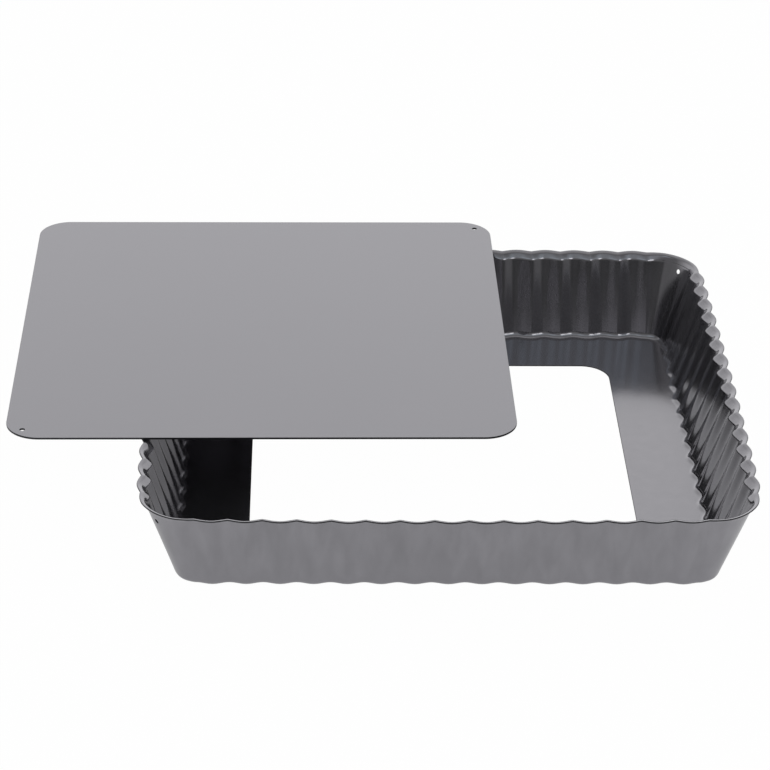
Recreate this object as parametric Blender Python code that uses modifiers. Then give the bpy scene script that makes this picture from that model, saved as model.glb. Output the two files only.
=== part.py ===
"""Square fluted tart pan: a pressed ring with a flat inner flange and a loose base plate.

Metres, +Z up. The pan stands on z = 0 and the plate lies across the ring's rim,
set off towards the rear left. The origin is the middle of the footprint of both pieces.
"""

import math

import bmesh
import bpy

# Ring, measured on the outside of the sheet
BASE_WIDTH = 0.2008
BASE_CORNER_RADIUS = 0.0074
BASE_BEND_RADIUS = 0.0032
HEIGHT = 0.035
WALL_LEAN = math.radians(17.3)
RING_SHEET = 0.0005
RIM_BOW = 0.0009

# Flutes of the wall, bounded by inward ridges
FLUTES_PER_SIDE = 15
BASE_FLUTE_DEPTH = 0.0013
SHOULDER_FLUTE_DEPTH = 0.00165
RIM_FLUTE_DEPTH = 0.0014
WALL_ROUNDNESS = 1.05
SHOULDER_ROUNDNESS = 1.5
RIM_ROUNDNESS = 1.15
POINTS_PER_FLUTE = 6

# Plain corners between the last ridges, in shares of the flute depth
CORNER_EASE = 1.4
CORNER_SWELL = 0.6
CORNER_TUCK = 0.3
POINTS_PER_CORNER = 8

# Flared lip: a steep run up from the wall's shoulder, then a nearly flat rim
LIP_RISE = 0.0022
LIP_SLOPE = math.radians(48.5)
LIP_BEND_RADIUS = 0.0008
RIM_WIDTH = 0.00135
RIM_SLOPE = math.radians(8)
RIM_BEND_RADIUS = 0.0020

# Opening in the flange, through which the plate is pushed up
OPENING_WIDTH = 0.148
OPENING_CORNER_RADIUS = 0.0115

# Loose base plate
PLATE_THICKNESS = 0.0008
PLATE_CORNER_RADIUS = 0.013
PLATE_CLEARANCE = 0.0011
PLATE_OFFSET_X = -0.0698
PLATE_OFFSET_Y = 0.0428
PLATE_TURN = math.radians(0.4)
REST_GAP = 0.0003

# Small coating holes in two opposite corners of each piece
HOLE_DIAMETER = 0.0020
REAR_HOLE_DROP = 0.0050
REAR_HOLE_TURN = math.radians(42)
FRONT_HOLE_DROP = 0.0061
FRONT_HOLE_TURN = math.radians(218)
PLATE_HOLE_INSET = 0.0065
HOLE_SEGMENTS = 16

COATING_GREY = (0.16, 0.165, 0.175, 1.0)
PLATE_GREY = (0.30, 0.305, 0.32, 1.0)

ARC_STEPS = 8


def bend_tangent(radius, turn):
    """Length from a sharp corner to the point where its bend begins."""
    return radius * math.tan(turn / 2)


base_half = BASE_WIDTH / 2
wall_run = math.tan(WALL_LEAN)
straight_half = base_half - BASE_CORNER_RADIUS
base_turn = math.pi / 2 - WALL_LEAN
bend_start_half = base_half - bend_tangent(BASE_BEND_RADIUS, base_turn)
plate_half = bend_start_half - PLATE_CLEARANCE

rim_z = HEIGHT - RING_SHEET * math.cos(RIM_SLOPE)
fold_z = rim_z - RIM_WIDTH * math.tan(RIM_SLOPE)
shoulder_z = fold_z - LIP_RISE
shoulder_half = base_half + shoulder_z * wall_run
fold_half = shoulder_half + LIP_RISE / math.tan(LIP_SLOPE)
rim_half = fold_half + RIM_WIDTH
reach_half = rim_half + RIM_BOW * rim_z / HEIGHT + RIM_FLUTE_DEPTH / 2


def clear_scene():
    for item in list(bpy.data.objects):
        bpy.data.objects.remove(item, do_unlink=True)


def new_collection(name):
    collection = bpy.data.collections.new(name)
    bpy.context.scene.collection.children.link(collection)
    return collection


def coated_metal(name, colour, roughness):
    material = bpy.data.materials.new(name)
    material.use_nodes = True
    shader = material.node_tree.nodes["Principled BSDF"]
    shader.inputs["Base Color"].default_value = colour
    shader.inputs["Roughness"].default_value = roughness
    shader.inputs["Metallic"].default_value = 0.7
    return material


def side_profile(half, corner, depth, roundness, inset, swell, bow):
    """Points of the +X side and its rear corner, from the front ridge round to the next side."""
    straight = half - corner
    points = []
    for step in range(FLUTES_PER_SIDE * POINTS_PER_FLUTE):
        across = 2 * step / (FLUTES_PER_SIDE * POINTS_PER_FLUTE) - 1
        within = (step % POINTS_PER_FLUTE) / POINTS_PER_FLUTE
        lobe = math.sin(math.pi * within) ** roundness
        points.append((half - inset + depth * lobe + bow * (1 - across ** 2), straight * across))
    for step in range(POINTS_PER_CORNER):
        share = step / POINTS_PER_CORNER
        angle = math.pi / 2 * share
        ease = min(1, CORNER_EASE * math.sin(math.pi * share))
        radius = corner - inset + ease * (inset + swell)
        points.append((straight + radius * math.cos(angle), straight + radius * math.sin(angle)))
    return points


def square_loop(half, corner, depth=0.0, roundness=1.0, inset=0.0, swell=0.0, bow=0.0):
    """Closed loop of four equal sides, counter-clockwise from above."""
    loop = []
    for quarter in range(4):
        turn = quarter * math.pi / 2
        cos_turn, sin_turn = math.cos(turn), math.sin(turn)
        for x, y in side_profile(half, corner, depth, roundness, inset, swell, bow):
            loop.append((x * cos_turn - y * sin_turn, x * sin_turn + y * cos_turn))
    return loop


def bend_points(corner_half, corner_z, radius, start_rise, end_rise, shares):
    """Section points on the bend between two straight runs, by share of the turn."""
    turn = end_rise - start_rise
    reach = bend_tangent(radius, abs(turn))
    start = (corner_half - reach * math.cos(start_rise), corner_z - reach * math.sin(start_rise))
    side = 1 if turn > 0 else -1
    centre = (start[0] - side * radius * math.sin(start_rise),
              start[1] + side * radius * math.cos(start_rise))
    points = []
    for share in shares:
        rise = start_rise + turn * share
        points.append((centre[0] + side * radius * math.sin(rise),
                       centre[1] - side * radius * math.cos(rise)))
    return points


def between(base, shoulder, rim, wall_share, lip_share):
    """Value that runs from the base to the shoulder, and on to the rim."""
    return base + (shoulder - base) * wall_share + (rim - shoulder) * lip_share


def wall_loop(half, z):
    """Loop of the fluted wall at one height, with round plain corners."""
    wall_share = min(1, z / shoulder_z)
    upper_share = max(0, 2 * wall_share - 1)
    lip_share = min(1, max(0, (z - shoulder_z) / (rim_z - shoulder_z)))
    depth = between(BASE_FLUTE_DEPTH, SHOULDER_FLUTE_DEPTH, RIM_FLUTE_DEPTH, wall_share, lip_share)
    roundness = between(WALL_ROUNDNESS, SHOULDER_ROUNDNESS, RIM_ROUNDNESS, upper_share, lip_share)
    inset = depth * wall_share / 2
    swell = depth * (CORNER_SWELL * wall_share * (1 - lip_share) - CORNER_TUCK * (1 - wall_share))
    return square_loop(half, half - straight_half, depth, roundness, inset, swell, RIM_BOW * z / HEIGHT)


def ring_rows():
    """Loops of the sheet's outer surface, from the opening to the rim's edge."""
    rows = [(square_loop(OPENING_WIDTH / 2, OPENING_CORNER_RADIUS), 0.0)]
    base = bend_points(base_half, 0.0, BASE_BEND_RADIUS, 0.0, base_turn, (0, 0.5, 1))
    shoulder = bend_points(shoulder_half, shoulder_z, LIP_BEND_RADIUS, base_turn, LIP_SLOPE, (0.5,))
    fold = bend_points(fold_half, fold_z, RIM_BEND_RADIUS, LIP_SLOPE, RIM_SLOPE, (0, 1))
    for half, z in base + shoulder + fold + [(rim_half, rim_z)]:
        rows.append((wall_loop(half, z), z))
    return rows


def ring_surface():
    """Open sheet lofted through the ring's rows, facing down and out."""
    mesh = bpy.data.meshes.new("fluted_ring")
    sheet = bmesh.new()
    previous = None
    for loop, z in ring_rows():
        current = [sheet.verts.new((x, y, z)) for x, y in loop]
        if previous:
            for index in range(len(current)):
                following = (index + 1) % len(current)
                sheet.faces.new((previous[index], previous[following], current[following], current[index]))
        previous = current
    bmesh.ops.recalc_face_normals(sheet, faces=sheet.faces)
    if min(sheet.faces, key=lambda face: face.calc_center_median().z).normal.z > 0:
        bmesh.ops.reverse_faces(sheet, faces=sheet.faces)
    sheet.to_mesh(mesh)
    sheet.free()
    mesh.shade_smooth()
    return mesh


def ring_hole_cutter(name, collection, azimuth, drop):
    """Drill through the plain corner of the wall, just below the lip."""
    hole_z = HEIGHT - drop
    corner = base_half + hole_z * wall_run - straight_half
    side = 1 if math.cos(azimuth) > 0 else -1
    mesh = bpy.data.meshes.new(name)
    drill = bmesh.new()
    bmesh.ops.create_cone(drill, cap_ends=True, segments=HOLE_SEGMENTS, radius1=HOLE_DIAMETER / 2,
                          radius2=HOLE_DIAMETER / 2, depth=RING_SHEET * 16)
    drill.to_mesh(mesh)
    drill.free()
    cutter = bpy.data.objects.new(name, mesh)
    cutter.location = (side * straight_half + corner * math.cos(azimuth),
                       side * straight_half + corner * math.sin(azimuth), hole_z)
    cutter.rotation_euler = (0, math.pi / 2 + WALL_LEAN, azimuth)
    cutter.hide_render = True
    cutter.display_type = "WIRE"
    collection.objects.link(cutter)
    return cutter


def make_ring(parts, cutters, home):
    ring = bpy.data.objects.new("fluted_ring", ring_surface())
    ring.data.materials.append(coated_metal("ring_coating", COATING_GREY, 0.38))
    ring.parent = home
    parts.objects.link(ring)
    wall = ring.modifiers.new("sheet", "SOLIDIFY")
    wall.thickness = RING_SHEET
    wall.offset = -1
    wall.use_even_offset = True
    holes = (("rear_right_drill", REAR_HOLE_TURN, REAR_HOLE_DROP),
             ("front_left_drill", FRONT_HOLE_TURN, FRONT_HOLE_DROP))
    for name, azimuth, drop in holes:
        cutter = ring_hole_cutter(name, cutters, azimuth, drop)
        cutter.parent = home
        hole = ring.modifiers.new(name, "BOOLEAN")
        hole.operation = "DIFFERENCE"
        hole.object = cutter
    return ring


def rounded_square(half, radius):
    """Outline of a square with round corners."""
    points = []
    for quarter in range(4):
        for step in range(ARC_STEPS + 1):
            angle = (quarter + step / ARC_STEPS) * math.pi / 2
            middle = math.pi / 4 + quarter * math.pi / 2
            reach = (half - radius) * math.sqrt(2)
            points.append((reach * math.cos(middle) + radius * math.cos(angle),
                           reach * math.sin(middle) + radius * math.sin(angle)))
    return points


def circle(x, y, diameter):
    """Outline of a round hole."""
    points = []
    for step in range(HOLE_SEGMENTS):
        angle = 2 * math.pi * step / HOLE_SEGMENTS
        points.append((x + diameter / 2 * math.cos(angle), y + diameter / 2 * math.sin(angle)))
    return points


def make_plate(parts, home):
    outline = bpy.data.curves.new("base_plate", "CURVE")
    outline.dimensions = "2D"
    outline.fill_mode = "BOTH"
    outline.extrude = PLATE_THICKNESS / 2
    hole = plate_half - PLATE_HOLE_INSET
    loops = [rounded_square(plate_half, PLATE_CORNER_RADIUS),
             circle(hole, hole, HOLE_DIAMETER),
             circle(-hole, -hole, HOLE_DIAMETER)]
    for points in loops:
        spline = outline.splines.new("POLY")
        spline.points.add(len(points) - 1)
        spline.use_cyclic_u = True
        for point, (x, y) in zip(spline.points, points):
            point.co = (x, y, 0, 1)
    plate = bpy.data.objects.new("base_plate", outline)
    outline.materials.append(coated_metal("plate_coating", PLATE_GREY, 0.42))
    plate.location = (PLATE_OFFSET_X, PLATE_OFFSET_Y, HEIGHT + REST_GAP + PLATE_THICKNESS / 2)
    plate.rotation_euler = (0, 0, PLATE_TURN)
    plate.parent = home
    parts.objects.link(plate)
    return plate


def footprint_middle():
    """Middle of the box around the ring and the plate that lies across it."""
    turned = math.cos(PLATE_TURN) + abs(math.sin(PLATE_TURN))
    reach = (plate_half - PLATE_CORNER_RADIUS) * turned + PLATE_CORNER_RADIUS
    middle = []
    for offset in (PLATE_OFFSET_X, PLATE_OFFSET_Y):
        low = min(-reach_half, offset - reach)
        high = max(reach_half, offset + reach)
        middle.append((low + high) / 2)
    return middle


def main():
    clear_scene()
    parts = new_collection("tart_pan")
    cutters = new_collection("tart_pan_cutters")
    middle_x, middle_y = footprint_middle()
    home = bpy.data.objects.new("ring_middle", None)
    home.location = (-middle_x, -middle_y, 0)
    parts.objects.link(home)
    make_ring(parts, cutters, home)
    make_plate(parts, home)
    bpy.context.view_layer.update()


main()
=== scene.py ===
import math
from functools import partial, reduce

import bpy
from mathutils import Matrix, Vector


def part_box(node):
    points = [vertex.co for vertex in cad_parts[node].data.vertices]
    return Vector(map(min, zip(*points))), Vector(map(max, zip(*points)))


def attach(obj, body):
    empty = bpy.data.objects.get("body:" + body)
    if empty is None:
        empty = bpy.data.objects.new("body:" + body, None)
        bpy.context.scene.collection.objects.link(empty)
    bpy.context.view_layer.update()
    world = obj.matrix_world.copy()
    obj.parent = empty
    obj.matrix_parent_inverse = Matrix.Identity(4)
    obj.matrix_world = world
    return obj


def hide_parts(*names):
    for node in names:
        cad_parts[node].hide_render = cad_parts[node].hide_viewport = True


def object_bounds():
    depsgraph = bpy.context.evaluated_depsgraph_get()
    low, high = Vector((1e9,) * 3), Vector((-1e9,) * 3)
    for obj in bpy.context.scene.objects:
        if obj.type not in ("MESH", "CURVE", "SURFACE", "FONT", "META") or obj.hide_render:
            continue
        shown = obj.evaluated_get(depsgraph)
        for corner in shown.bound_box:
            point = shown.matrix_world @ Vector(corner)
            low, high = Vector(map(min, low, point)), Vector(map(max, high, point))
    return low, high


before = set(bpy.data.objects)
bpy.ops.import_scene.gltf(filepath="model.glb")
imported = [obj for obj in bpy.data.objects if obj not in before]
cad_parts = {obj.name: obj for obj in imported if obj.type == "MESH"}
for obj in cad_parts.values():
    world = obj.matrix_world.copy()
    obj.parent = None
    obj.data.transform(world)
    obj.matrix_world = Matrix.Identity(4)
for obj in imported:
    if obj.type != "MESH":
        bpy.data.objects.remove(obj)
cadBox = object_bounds()
ringLow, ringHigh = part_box("fluted_ring")
plateLow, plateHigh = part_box("base_plate")
ringMiddle = Vector(((ringLow[0] + ringHigh[0]) / 2, (ringLow[1] + ringHigh[1]) / 2, 0.0))
plateMiddle = (Vector(plateLow) + Vector(plateHigh)) / 2
ringHeight = ringHigh[2] - ringLow[2]
print("frame loaded, ring middle", ringMiddle[:])

# one shot from the front, a little to the left, looking down
photoCamera = {
    "fromRim": (-0.05154, -1.01647, 0.53212),  # from the middle of the rim
    "yaw": math.radians(-1.687),
    "pitch": math.radians(27.842),
    "roll": math.radians(-0.946),
    "lens": 136.51,
    "sensor": 36.0,
    "clipEnd": 20.0,
}


def addCamera(spec):
    data = bpy.data.cameras.new("photoCamera")
    data.lens = spec["lens"]
    data.sensor_width = spec["sensor"]
    data.clip_end = spec["clipEnd"]
    camera = bpy.data.objects.new("photoCamera", data)
    bpy.context.scene.collection.objects.link(camera)
    place = ringMiddle + Vector((0, 0, ringHeight)) + Vector(spec["fromRim"])
    aim = (Matrix.Rotation(spec["yaw"], 4, "Z")
           @ Matrix.Rotation(-spec["pitch"], 4, "X")
           @ Matrix.Rotation(spec["roll"], 4, "Y")
           @ Matrix.Rotation(math.pi / 2, 4, "X"))
    camera.matrix_world = Matrix.Translation(place) @ aim
    bpy.context.scene.camera = camera


addCamera(photoCamera)
print("camera placed")


# helpers for node trees and modifiers
def link(tree, value, socket):
    if isinstance(value, bpy.types.NodeSocket):
        tree.links.new(value, socket)
    else:
        socket.default_value = value


def node(tree, kind, *values, settings=None, **named):
    made = tree.nodes.new(kind)
    for name, value in (settings or {}).items():
        setattr(made, name, value)
    for value, socket in zip(values, made.inputs):
        link(tree, value, socket)
    for name, value in named.items():
        link(tree, value, made.inputs[name.replace("_", " ")])
    return made


def calc(tree, operation, *values):
    return node(tree, "ShaderNodeMath", *values, settings={"operation": operation}).outputs[0]


def vectorCalc(tree, operation, *values):
    made = node(tree, "ShaderNodeVectorMath", *values, settings={"operation": operation})
    return made.outputs["Value" if operation == "DISTANCE" else "Vector"]


def smoothRamp(tree, value, span, levels):
    ramp = node(tree, "ShaderNodeMapRange", settings={"interpolation_type": "SMOOTHSTEP"}, Value=value,
                From_Min=span[0], From_Max=span[1], To_Min=levels[0], To_Max=levels[1])
    return ramp.outputs[0]


def blend(tree, share, low, high):
    mix = node(tree, "ShaderNodeMix", settings={"data_type": "RGBA"})
    sockets = {socket.identifier: socket for socket in (*mix.inputs, *mix.outputs)}
    link(tree, share, sockets["Factor_Float"])
    link(tree, (*low, 1), sockets["A_Color"])
    link(tree, (*high, 1), sockets["B_Color"])
    return sockets["Result_Color"]


def addModifier(target, name, kind, **settings):
    made = target.modifiers.new(name, kind)
    for key, value in settings.items():
        setattr(made, key, value)
    return made


# satin grey non-stick coat: faint clouds, drawn out into streaks up the ring's wall, and a fine grain
coats = {
    "ring": {
        "colour": (0.381, 0.374, 0.399), "dark": 0.84, "metal": 0.9, "rough": 0.12, "roughSpan": 0.05,
        "cloud": 200.0, "grainHeight": 0.000006,
        "streak": {"stretch": 0.08, "heights": (0.001, 0.006), "shares": (0.6, 2.0)},
    },
    "plate": {
        "colour": (0.341, 0.336, 0.359), "dark": 0.95, "metal": 0.95, "rough": 0.2, "roughSpan": 0.05,
        "cloud": 14.0, "grainHeight": 0.000006,
    },
    # edge: near-black coat for the sheet's cut and rounded edges and the hole walls, painted shade for the dark
    # line under the rim's top and the dark holes
    "edge": {
        "colour": (0.06, 0.06, 0.065), "dark": 0.7, "metal": 0.9, "rough": 0.3, "roughSpan": 0.1,
        "cloud": 400.0, "grainHeight": 0.000010,
    },
}
coatNoise = {"cloudDetail": 3.0, "grainScale": 1500.0, "grainDetail": 2.0, "middle": 0.5}


def streakShade(tree, place, cloud, spec):
    height = node(tree, "ShaderNodeSeparateXYZ", place).outputs["Z"]
    share = smoothRamp(tree, height, spec["heights"], spec["shares"])
    aside = calc(tree, "SUBTRACT", cloud, coatNoise["middle"])
    return calc(tree, "MULTIPLY_ADD", aside, share, coatNoise["middle"])


def coatMaterial(name, spec):
    material = bpy.data.materials.new(name)
    material.use_nodes = True
    tree = material.node_tree
    shader = tree.nodes["Principled BSDF"]
    place = node(tree, "ShaderNodeTexCoord").outputs["Object"]
    streak = spec.get("streak")
    drawn = vectorCalc(tree, "MULTIPLY", place, (1, 1, streak["stretch"])) if streak else place
    cloud = node(tree, "ShaderNodeTexNoise", Vector=drawn, Scale=spec["cloud"],
                 Detail=coatNoise["cloudDetail"]).outputs["Fac"]
    grain = node(tree, "ShaderNodeTexNoise", Vector=place, Scale=coatNoise["grainScale"],
                 Detail=coatNoise["grainDetail"]).outputs["Fac"]
    shade = streakShade(tree, place, cloud, streak) if streak else cloud
    darker = [part * spec["dark"] for part in spec["colour"]]
    link(tree, blend(tree, shade, darker, spec["colour"]), shader.inputs["Base Color"])
    link(tree, spec["metal"], shader.inputs["Metallic"])
    rough = calc(tree, "MULTIPLY_ADD", cloud, spec["roughSpan"], spec["rough"])
    link(tree, rough, shader.inputs["Roughness"])
    bump = node(tree, "ShaderNodeBump", Height=grain, Distance=spec["grainHeight"])
    link(tree, bump.outputs[0], shader.inputs["Normal"])
    return material


ringCoat = coatMaterial("ringCoat", coats["ring"])
plateCoat = coatMaterial("plateCoat", coats["plate"])
paintedShadeEdge = coatMaterial("paintedShadeEdge", coats["edge"])
print("coats made")

# pressed ring: section of the sheet's outside, the flutes along it, and the holes
ring = {
    "sheet": 0.0005, "flatMargin": 0.0003,
    "openingHalf": 0.074, "openingCorner": 0.0115,
    "baseHalf": 0.1004, "baseCorner": 0.0074, "baseBend": 0.0032,
    "lean": math.radians(17.3),
    "lipRise": 0.0019, "lipSlope": math.radians(44), "lipBend": 0.0020,
    "rimWidth": 0.00125, "rimSlope": math.radians(8), "rimBend": 0.0026, "rimBow": 0.0009,
    "flutes": 15, "fluteDepth": 0.0013, "shoulderDepth": 0.00165, "rimDepth": 0.0014,
    "baseRound": 2.0, "baseEase": 0.02, "wallRound": 1.05, "shoulderRound": 1.5, "rimRound": 1.15,
    "cornerEase": 1.4, "cornerSwell": 0.6, "cornerTuck": 0.3,
    "pointsPerFlute": 16, "ridgeCrowd": 0.75, "pointsPerCorner": 24, "bendPoints": 7, "seam": 0.000002,
    "edgeRound": 0.00014, "edgeSteps": 2, "edgeFrom": math.radians(60), "sharpFrom": math.radians(50),
    "holeSize": 0.0020, "holePoints": 32, "drillLength": 0.008,
    "holes": (("rearRightDrill", math.radians(42), 0.0050), ("frontLeftDrill", math.radians(218), 0.0061)),
}
straightHalf = ring["baseHalf"] - ring["baseCorner"]

# places of the bends in sectionCurve's corners
bendCorners = {"Base Bend": 3, "Lip Bend": 6, "Rim Bend": 7}
sameIndex = 0.1

# Set Material leaves the first slot empty
# the last slot holds the near-black edge coat, the painted shade
ringSlots = (None, ringCoat, paintedShadeEdge)
paintedShadeSlot = ringSlots.index(paintedShadeEdge)


def sectionCurve(spec):
    lean, lipSlope, rimSlope = spec["lean"], spec["lipSlope"], spec["rimSlope"]
    upright = math.pi / 2 - lean
    margin = spec["flatMargin"]
    rimZ = ringHeight - spec["sheet"] * math.cos(rimSlope)
    foldZ = rimZ - spec["rimWidth"] * math.tan(rimSlope)
    lipZ = foldZ - spec["lipRise"]
    lipHalf = spec["baseHalf"] + lipZ * math.tan(lean)
    foldHalf = lipHalf + spec["lipRise"] / math.tan(lipSlope)
    rimHalf = foldHalf + spec["rimWidth"]
    baseReach = spec["baseBend"] * math.tan(upright / 2) + margin
    lipReach = spec["lipBend"] * math.tan((upright - lipSlope) / 2) + margin
    corners = [
        (spec["openingHalf"], 0.0),
        (spec["openingHalf"] + margin, 0.0),
        (spec["baseHalf"] - baseReach, 0.0),
        (spec["baseHalf"], 0.0),
        (spec["baseHalf"] + baseReach * math.sin(lean), baseReach * math.cos(lean)),
        (lipHalf - lipReach * math.sin(lean), lipZ - lipReach * math.cos(lean)),
        (lipHalf, lipZ),
        (foldHalf, foldZ),
        (rimHalf - margin, rimZ - margin * math.tan(rimSlope)),
        (rimHalf, rimZ),
    ]
    data = bpy.data.curves.new("ringSection", "CURVE")
    data.dimensions = "3D"
    spline = data.splines.new("POLY")
    spline.points.add(len(corners) - 1)
    for point, (half, z) in zip(spline.points, corners):
        point.co = (half, 0, z, 1)
    section = bpy.data.objects.new("ringSection", data)
    bpy.context.scene.collection.objects.link(section)
    return section, lipZ, rimZ


def ringInputs(spec, section, lipZ, rimZ):
    return {
        "NodeSocketObject": {"Section": section},
        "NodeSocketMaterial": {"Coat": ringCoat},
        "NodeSocketVector": {"Middle": ringMiddle[:]},
        "NodeSocketInt": {
            "Flutes": spec["flutes"],
            "Bend Points": spec["bendPoints"],
            "Points Per Flute": spec["pointsPerFlute"],
            "Points Per Corner": spec["pointsPerCorner"],
        },
        "NodeSocketFloat": {
            "Height": ringHeight,
            "Straight Half": straightHalf,
            "Opening Corner": spec["openingCorner"],
            "Opening End": spec["openingHalf"] + 2 * spec["flatMargin"],
            "Base Bend": spec["baseBend"],
            "Lip Bend": spec["lipBend"],
            "Rim Bend": spec["rimBend"],
            "Rim Bow": spec["rimBow"],
            "Lip Start": lipZ,
            "Lip Edge": rimZ,
            "Flute Depth": spec["fluteDepth"],
            "Shoulder Depth": spec["shoulderDepth"],
            "Rim Depth": spec["rimDepth"],
            "Base Round": spec["baseRound"],
            "Base Ease": spec["baseEase"],
            "Wall Round": spec["wallRound"],
            "Shoulder Round": spec["shoulderRound"],
            "Rim Round": spec["rimRound"],
            "Corner Ease": spec["cornerEase"],
            "Corner Swell": spec["cornerSwell"],
            "Corner Tuck": spec["cornerTuck"],
            "Ridge Crowd": spec["ridgeCrowd"],
            "Seam": spec["seam"],
        },
    }


def flutedRingTree(inputs):
    tree = bpy.data.node_groups.new("flutedRing", "GeometryNodeTree")
    tree.interface.new_socket("Geometry", in_out="OUTPUT", socket_type="NodeSocketGeometry")
    for kind, values in inputs.items():
        for name in values:
            tree.interface.new_socket(name, in_out="INPUT", socket_type=kind)
    given = node(tree, "NodeGroupInput").outputs
    reckon = partial(calc, tree)

    # section with its three bends
    info = node(tree, "GeometryNodeObjectInfo", Object=given["Section"])
    position = node(tree, "GeometryNodeInputPosition").outputs[0]
    cornerIndex = node(tree, "GeometryNodeInputIndex").outputs[0]
    bend = 0.0
    for name, corner in bendCorners.items():
        bend = reckon("MULTIPLY_ADD", reckon("COMPARE", cornerIndex, corner, sameIndex), given[name], bend)
    bent = node(tree, "GeometryNodeFilletCurve", settings={"mode": "POLY"}, Curve=info.outputs["Geometry"],
                Radius=bend, Count=given["Bend Points"]).outputs[0]
    rows = node(tree, "GeometryNodeAttributeDomainSize", bent,
                settings={"component": "CURVE"}).outputs["Point Count"]

    # grid: around the ring by along the section
    sideSteps = reckon("MULTIPLY", given["Flutes"], given["Points Per Flute"])
    quarterSteps = reckon("ADD", sideSteps, given["Points Per Corner"])
    around = reckon("MULTIPLY", quarterSteps, 4.0)
    grid = node(tree, "GeometryNodeMeshGrid", Vertices_X=reckon("ADD", around, 1.0), Vertices_Y=rows)
    onGrid = node(tree, "ShaderNodeSeparateXYZ", position).outputs
    turnIndex = reckon("MULTIPLY", reckon("ADD", onGrid["X"], 0.5), around)
    turnIndex = reckon("ROUND", turnIndex)
    rowIndex = reckon("MULTIPLY", reckon("ADD", onGrid["Y"], 0.5), reckon("SUBTRACT", rows, 1.0))
    rowIndex = reckon("ROUND", rowIndex)
    sample = node(tree, "GeometryNodeSampleIndex", settings={"data_type": "FLOAT_VECTOR"},
                  Geometry=bent, Value=position, Index=rowIndex)
    onSection = node(tree, "ShaderNodeSeparateXYZ", sample.outputs[0]).outputs
    half, height = onSection["X"], onSection["Z"]

    # where each point falls: side flutes first, crowded at their ridges, then the plain corner
    quarter = reckon("FLOOR", reckon("DIVIDE", turnIndex, quarterSteps))
    step = reckon("SUBTRACT", turnIndex, reckon("MULTIPLY", quarter, quarterSteps))
    sideStep = reckon("MINIMUM", step, sideSteps)
    fluteStep = reckon("DIVIDE", sideStep, given["Points Per Flute"])
    evenly = reckon("FRACT", fluteStep)
    crowd = reckon("DIVIDE", given["Ridge Crowd"], -2 * math.pi)
    within = reckon("MULTIPLY_ADD", reckon("SINE", reckon("MULTIPLY", evenly, 2 * math.pi)), crowd, evenly)
    sideShare = reckon("DIVIDE", reckon("ADD", reckon("FLOOR", fluteStep), within), given["Flutes"])
    across = reckon("MULTIPLY_ADD", sideShare, 2.0, -1.0)
    cornerShare = reckon("DIVIDE", reckon("SUBTRACT", step, sideStep), given["Points Per Corner"])
    cornerAngle = reckon("MULTIPLY", cornerShare, math.pi / 2)

    # lobes rise out of the base's softer waves and ease into the lip's shallower scallops
    isOpening = reckon("LESS_THAN", half, given["Opening End"])
    lipShare = reckon("DIVIDE", reckon("SUBTRACT", height, given["Lip Start"]),
                      reckon("SUBTRACT", given["Lip Edge"], given["Lip Start"]))
    lipShare = reckon("MINIMUM", reckon("MAXIMUM", lipShare, 0.0), 1.0)
    wallShare = reckon("MINIMUM", reckon("DIVIDE", height, given["Lip Start"]), 1.0)
    upperShare = reckon("MAXIMUM", reckon("MULTIPLY_ADD", wallShare, 2.0, -1.0), 0.0)

    def upTheWall(share, low, shoulder, rim):
        wall = reckon("MULTIPLY_ADD", share, reckon("SUBTRACT", given[shoulder], given[low]), given[low])
        return reckon("MULTIPLY_ADD", lipShare, reckon("SUBTRACT", given[rim], given[shoulder]), wall)

    depth = upTheWall(wallShare, "Flute Depth", "Shoulder Depth", "Rim Depth")
    depth = reckon("MULTIPLY", depth, reckon("SUBTRACT", 1.0, isOpening))
    baseShare = reckon("MAXIMUM", reckon("SUBTRACT", 1.0, reckon("DIVIDE", height, given["Base Ease"])), 0.0)
    roundness = reckon("MULTIPLY_ADD", baseShare, reckon("SUBTRACT", given["Base Round"], given["Wall Round"]),
                       upTheWall(upperShare, "Wall Round", "Shoulder Round", "Rim Round"))
    lobe = reckon("MAXIMUM", reckon("SINE", reckon("MULTIPLY", within, math.pi)), 0.0)
    lobe = reckon("POWER", lobe, roundness)
    bow = reckon("MULTIPLY", given["Rim Bow"], reckon("DIVIDE", height, given["Height"]))
    bow = reckon("MULTIPLY", bow, reckon("SUBTRACT", 1.0, reckon("MULTIPLY", across, across)))

    # the flutes swing about the wall's line, and the plain corner eases out from the last ridge
    wallCorner = reckon("SUBTRACT", half, given["Straight Half"])
    openingGain = reckon("SUBTRACT", given["Opening Corner"], wallCorner)
    corner = reckon("MULTIPLY_ADD", isOpening, openingGain, wallCorner)
    straight = reckon("SUBTRACT", half, corner)
    ease = reckon("SINE", reckon("MULTIPLY", cornerShare, math.pi))
    ease = reckon("MINIMUM", reckon("MULTIPLY", ease, given["Corner Ease"]), 1.0)
    swell = reckon("MULTIPLY_ADD", reckon("SUBTRACT", 1.0, lipShare), given["Corner Swell"], 0.5)
    swing = reckon("MULTIPLY", wallShare, reckon("MULTIPLY_ADD", ease, swell, -0.5))
    tuck = reckon("MULTIPLY", ease, reckon("SUBTRACT", 1.0, wallShare))
    tuck = reckon("MULTIPLY", tuck, given["Corner Tuck"])
    corner = reckon("MULTIPLY_ADD", depth, reckon("SUBTRACT", swing, tuck), corner)
    outward = reckon("ADD", reckon("MULTIPLY_ADD", corner, reckon("COSINE", cornerAngle), straight),
                     reckon("MULTIPLY_ADD", depth, lobe, bow))
    sideways = reckon("MULTIPLY_ADD", corner, reckon("SINE", cornerAngle), reckon("MULTIPLY", straight, across))

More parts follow.
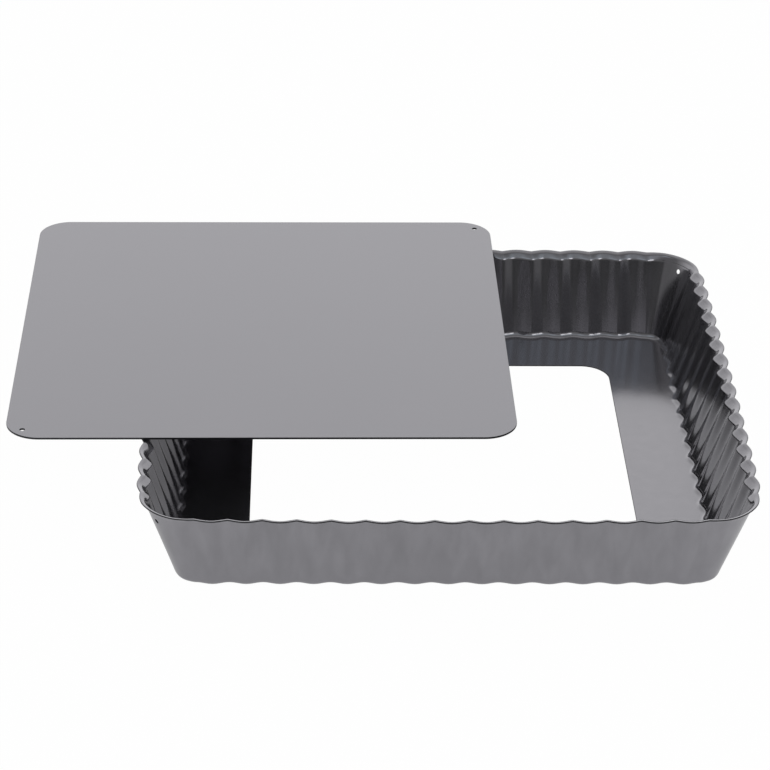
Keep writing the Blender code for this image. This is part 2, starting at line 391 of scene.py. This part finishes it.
    # each quarter turns to its side of the ring
    flat = node(tree, "ShaderNodeCombineXYZ", outward, sideways, height)
    turned = node(tree, "ShaderNodeVectorRotate", settings={"rotation_type": "Z_AXIS"},
                  Vector=flat.outputs[0], Angle=reckon("MULTIPLY", quarter, math.pi / 2))
    place = vectorCalc(tree, "ADD", turned.outputs[0], given["Middle"])
    placed = node(tree, "GeometryNodeSetPosition", grid.outputs[0], Position=place)
    closed = node(tree, "GeometryNodeMergeByDistance", placed.outputs[0], Distance=given["Seam"])
    smooth = node(tree, "GeometryNodeSetShadeSmooth", closed.outputs[0])
    real = node(tree, "GeometryNodeRealizeInstances", smooth.outputs[0])
    painted = node(tree, "GeometryNodeSetMaterial", real.outputs[0], Material=given["Coat"])
    node(tree, "NodeGroupOutput", painted.outputs[0])
    return tree


def plainMesh(source, name):
    bpy.context.view_layer.update()
    evaluated = source.evaluated_get(bpy.context.evaluated_depsgraph_get())
    mesh = bpy.data.meshes.new_from_object(evaluated)
    mesh.name = name
    source.modifiers.clear()
    bpy.data.objects.remove(source)
    piece = bpy.data.objects.new(name, mesh)
    bpy.context.scene.collection.objects.link(piece)
    return piece


def shadeSmooth(piece, sharpFrom):
    piece.data.shade_smooth()
    piece.data.set_sharp_from_angle(angle=sharpFrom)


def drillHole(source, spec, name, turn, drop):
    holeZ = ringHeight - drop
    radius = spec["baseHalf"] + holeZ * math.tan(spec["lean"]) - straightHalf
    outward = Vector((math.cos(turn), math.sin(turn), 0))
    coneAxis = math.copysign(straightHalf, outward.x) * Vector((1, 1, 0))
    direction = outward * math.cos(spec["lean"]) - Vector((0, 0, math.sin(spec["lean"])))
    place = ringMiddle + coneAxis + outward * radius + Vector((0, 0, holeZ))
    bpy.ops.mesh.primitive_cylinder_add(vertices=spec["holePoints"], radius=spec["holeSize"] / 2,
                                        depth=spec["drillLength"])
    drill = bpy.context.object
    drill.name = name
    aim = Vector((0, 0, 1)).rotation_difference(direction).to_matrix().to_4x4()
    drill.matrix_world = Matrix.Translation(place) @ aim
    for coat in ringSlots:
        drill.data.materials.append(coat)
    # the hole's walls take the near-black edge coat: painted shade in the hole
    for face in drill.data.polygons:
        face.material_index = paintedShadeSlot
    addModifier(source, name, "BOOLEAN", object=drill)
    return drill


def makeRing(spec):
    section, lipZ, rimZ = sectionCurve(spec)
    inputs = ringInputs(spec, section, lipZ, rimZ)
    mesh = bpy.data.meshes.new("ringSource")
    for coat in ringSlots:
        mesh.materials.append(coat)
    source = bpy.data.objects.new("ringSource", mesh)
    bpy.context.scene.collection.objects.link(source)
    tree = flutedRingTree(inputs)
    flutes = addModifier(source, "flutes", "NODES", node_group=tree)
    sockets = {item.name: item.identifier for item in tree.interface.items_tree if item.in_out == "INPUT"}
    for values in inputs.values():
        for name, value in values.items():
            flutes[sockets[name]] = value
    # the sheet's rim and its rounded edges take the near-black edge coat: painted shade along the rim
    addModifier(source, "sheet", "SOLIDIFY", thickness=spec["sheet"], offset=-1, use_even_offset=True,
                material_offset_rim=paintedShadeSlot - ringSlots.index(ringCoat))
    addModifier(source, "edge", "BEVEL", width=spec["edgeRound"], segments=spec["edgeSteps"], material=paintedShadeSlot,
                limit_method="ANGLE", angle_limit=spec["edgeFrom"])
    drills = [drillHole(source, spec, *hole) for hole in spec["holes"]]
    piece = plainMesh(source, "flutedRing")
    piece.data.materials.append(paintedShadeEdge)
    piece.data.materials.pop(index=0)
    for helper in drills + [section]:
        bpy.data.objects.remove(helper)
    shadeSmooth(piece, spec["sharpFrom"])
    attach(piece, "ring")
    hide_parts("fluted_ring")
    return piece


ringPiece = makeRing(ring)
print("ring made", len(ringPiece.data.polygons), "faces")

# loose plate
plate = {
    "half": 0.09694, "corner": 0.013, "turn": math.radians(0.4), "arcPoints": 24,
    "holeInset": 0.0065, "holeSize": 0.0020, "holePoints": 32,
    "edgeRound": 0.00012, "edgeSteps": 2, "flatNormal": 0.9, "sharpFrom": math.radians(40),
}


def arc(middle, radius, start, sweep, steps):
    turns = [start + sweep * step / steps for step in range(steps + 1)]
    return [(middle[0] + radius * math.cos(turn), middle[1] + radius * math.sin(turn)) for turn in turns]


def addLoop(curve, points):
    spline = curve.splines.new("POLY")
    spline.points.add(len(points) - 1)
    spline.use_cyclic_u = True
    for point, (x, y) in zip(spline.points, points):
        point.co = (x, y, 0, 1)


def makePlate(spec):
    thick = plateHigh[2] - plateLow[2]
    radius = spec["corner"] - spec["edgeRound"]
    reach = (spec["half"] - spec["corner"]) * math.sqrt(2)
    data = bpy.data.curves.new("plateOutline", "CURVE")
    data.dimensions = "2D"
    data.fill_mode = "BOTH"
    data.extrude = thick / 2 - spec["edgeRound"]
    data.bevel_depth = spec["edgeRound"]
    data.bevel_resolution = spec["edgeSteps"]
    outline = []
    for quarter in range(4):
        diagonal = (quarter + 0.5) * math.pi / 2
        middle = (reach * math.cos(diagonal), reach * math.sin(diagonal))
        outline += arc(middle, radius, quarter * math.pi / 2, math.pi / 2, spec["arcPoints"])
    addLoop(data, outline)
    for sign in (1, -1):
        away = sign * (spec["half"] - spec["holeInset"])
        size = spec["holeSize"] / 2 + spec["edgeRound"]
        addLoop(data, arc((away, away), size, 0.0, 2 * math.pi, spec["holePoints"])[:-1])
    source = bpy.data.objects.new("plateOutline", data)
    bpy.context.scene.collection.objects.link(source)
    piece = plainMesh(source, "basePlate")
    piece.data.transform(Matrix.Translation(plateMiddle) @ Matrix.Rotation(spec["turn"], 4, "Z"))
    piece.data.materials.clear()
    for coat in (plateCoat, paintedShadeEdge):
        piece.data.materials.append(coat)
    # the plate's sides take the near-black edge coat: painted shade along its edge
    for face in piece.data.polygons:
        face.material_index = int(abs(face.normal.z) < spec["flatNormal"])
    shadeSmooth(piece, spec["sharpFrom"])
    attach(piece, "plate")
    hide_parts("base_plate")
    return piece


platePiece = makePlate(plate)
print("plate made", len(platePiece.data.polygons), "faces")

# white floor whose glow in reflections is darkened under the pan as a painted shadow, and one small lamp at the
# front right
studio = {
    "floorSize": 12.0, "floorDrop": 0.0002, "floorWhite": 0.85, "shadowShare": 0.011,
    "glossShare": 0.485, "paintedShadowShare": 0.45, "paintedShadowSpan": (0.07, 0.112),
    "lampFrom": (0.75, -1.0, 1.0), "lampSize": 0.55, "lampPower": 1.2,
}

# light by direction: each part is the product of its ramps, given as axis, span and levels
sky = {
    "rear": (("rear", (-0.6, 0.5), (0.06, 0.9)), ("side", (0.12, 0.5), (1.0, 0.75))),
    "glow": (("up", (0.36, 0.5), (0.2, 0.0)),),
    "fall": (("up", (0.5, 0.74), (1.0, 0.65)),),
    "soft": (("up", (0.55, 0.8), (0.0, 0.24)), ("front", (0.15, 0.4), (0.0, 1.0)),
             ("side", (0.15, 0.45), (1.0, 2.2))),
    "rise": (("up", (0.18, 0.42), (0.0, 0.17)), ("front", (0.2, 0.6), (0.0, 1.0))),
    "flank": (("side", (0.4, 0.65), (0.0, 0.14)), ("front", (0.2, 0.5), (0.0, 1.0)),
              ("up", (0.2, 0.45), (1.0, 0.0))),
}
softTint = (0.76, 0.98, 1.12)


def makeFloor(spec):
    bpy.ops.mesh.primitive_plane_add(size=spec["floorSize"])
    floor = bpy.context.object
    floor.name = "floor"
    floor.location.z = cadBox[0][2] - spec["floorDrop"]
    material = bpy.data.materials.new("floorWhite")
    material.use_nodes = True
    tree = material.node_tree
    tree.nodes.clear()
    path = node(tree, "ShaderNodeLightPath").outputs
    place = node(tree, "ShaderNodeTexCoord").outputs["Object"]
    away = vectorCalc(tree, "DISTANCE", place, ringMiddle)
    # painted shadow: the glow that reflections see falls off towards the pan's middle
    paintedShadowLevel = spec["glossShare"] * spec["paintedShadowShare"]
    gloss = smoothRamp(tree, away, spec["paintedShadowSpan"], (paintedShadowLevel, spec["glossShare"]))
    mirrored = calc(tree, "MAXIMUM", path["Is Glossy Ray"], path["Is Transmission Ray"])
    direct = calc(tree, "MULTIPLY", path["Is Camera Ray"], 1 - spec["shadowShare"])
    seen = calc(tree, "MAXIMUM", direct, calc(tree, "MULTIPLY", mirrored, gloss))
    white = spec["floorWhite"]
    paint = node(tree, "ShaderNodeBsdfDiffuse", Color=(white, white, white, 1))
    glow = node(tree, "ShaderNodeEmission")
    mix = node(tree, "ShaderNodeMixShader", seen, paint.outputs[0], glow.outputs[0])
    node(tree, "ShaderNodeOutputMaterial", mix.outputs[0])
    floor.data.materials.append(material)


def makeWorld(parts):
    world = bpy.data.worlds.new("studio")
    world.use_nodes = True
    bpy.context.scene.world = world
    tree = world.node_tree
    background = tree.nodes["Background"]
    direction = node(tree, "ShaderNodeTexCoord").outputs["Generated"]
    x, y, z = node(tree, "ShaderNodeSeparateXYZ", direction).outputs
    axes = {"side": calc(tree, "ABSOLUTE", x), "rear": y, "front": calc(tree, "MULTIPLY", y, -1.0), "up": z}
    light = {}
    for name, ramps in parts.items():
        levels = [smoothRamp(tree, axes[axis], span, level) for axis, span, level in ramps]
        light[name] = reduce(partial(calc, tree, "MULTIPLY"), levels)
    total = calc(tree, "MULTIPLY", light["rear"], calc(tree, "ADD", light["glow"], light["fall"]))
    for name in ("rise", "flank", "soft"):
        total = calc(tree, "ADD", total, light[name])
    toCamera = node(tree, "ShaderNodeLightPath").outputs["Is Camera Ray"]
    link(tree, calc(tree, "MAXIMUM", total, toCamera), background.inputs["Strength"])
    coolShare = calc(tree, "MULTIPLY", light["soft"], calc(tree, "SUBTRACT", 1.0, toCamera))
    link(tree, blend(tree, coolShare, (1, 1, 1), softTint), background.inputs["Color"])


def makeLamp(spec):
    data = bpy.data.lights.new("frontLamp", "AREA")
    data.shape = "DISK"
    data.size = spec["lampSize"]
    data.energy = spec["lampPower"]
    lamp = bpy.data.objects.new("frontLamp", data)
    bpy.context.scene.collection.objects.link(lamp)
    away = Vector(spec["lampFrom"])
    aim = away.to_track_quat("Z", "Y").to_matrix().to_4x4()
    lamp.matrix_world = Matrix.Translation(ringMiddle + away) @ aim


makeFloor(studio)
makeWorld(sky)
makeLamp(studio)
bpy.context.scene.view_settings.view_transform = "Standard"
print("studio set")
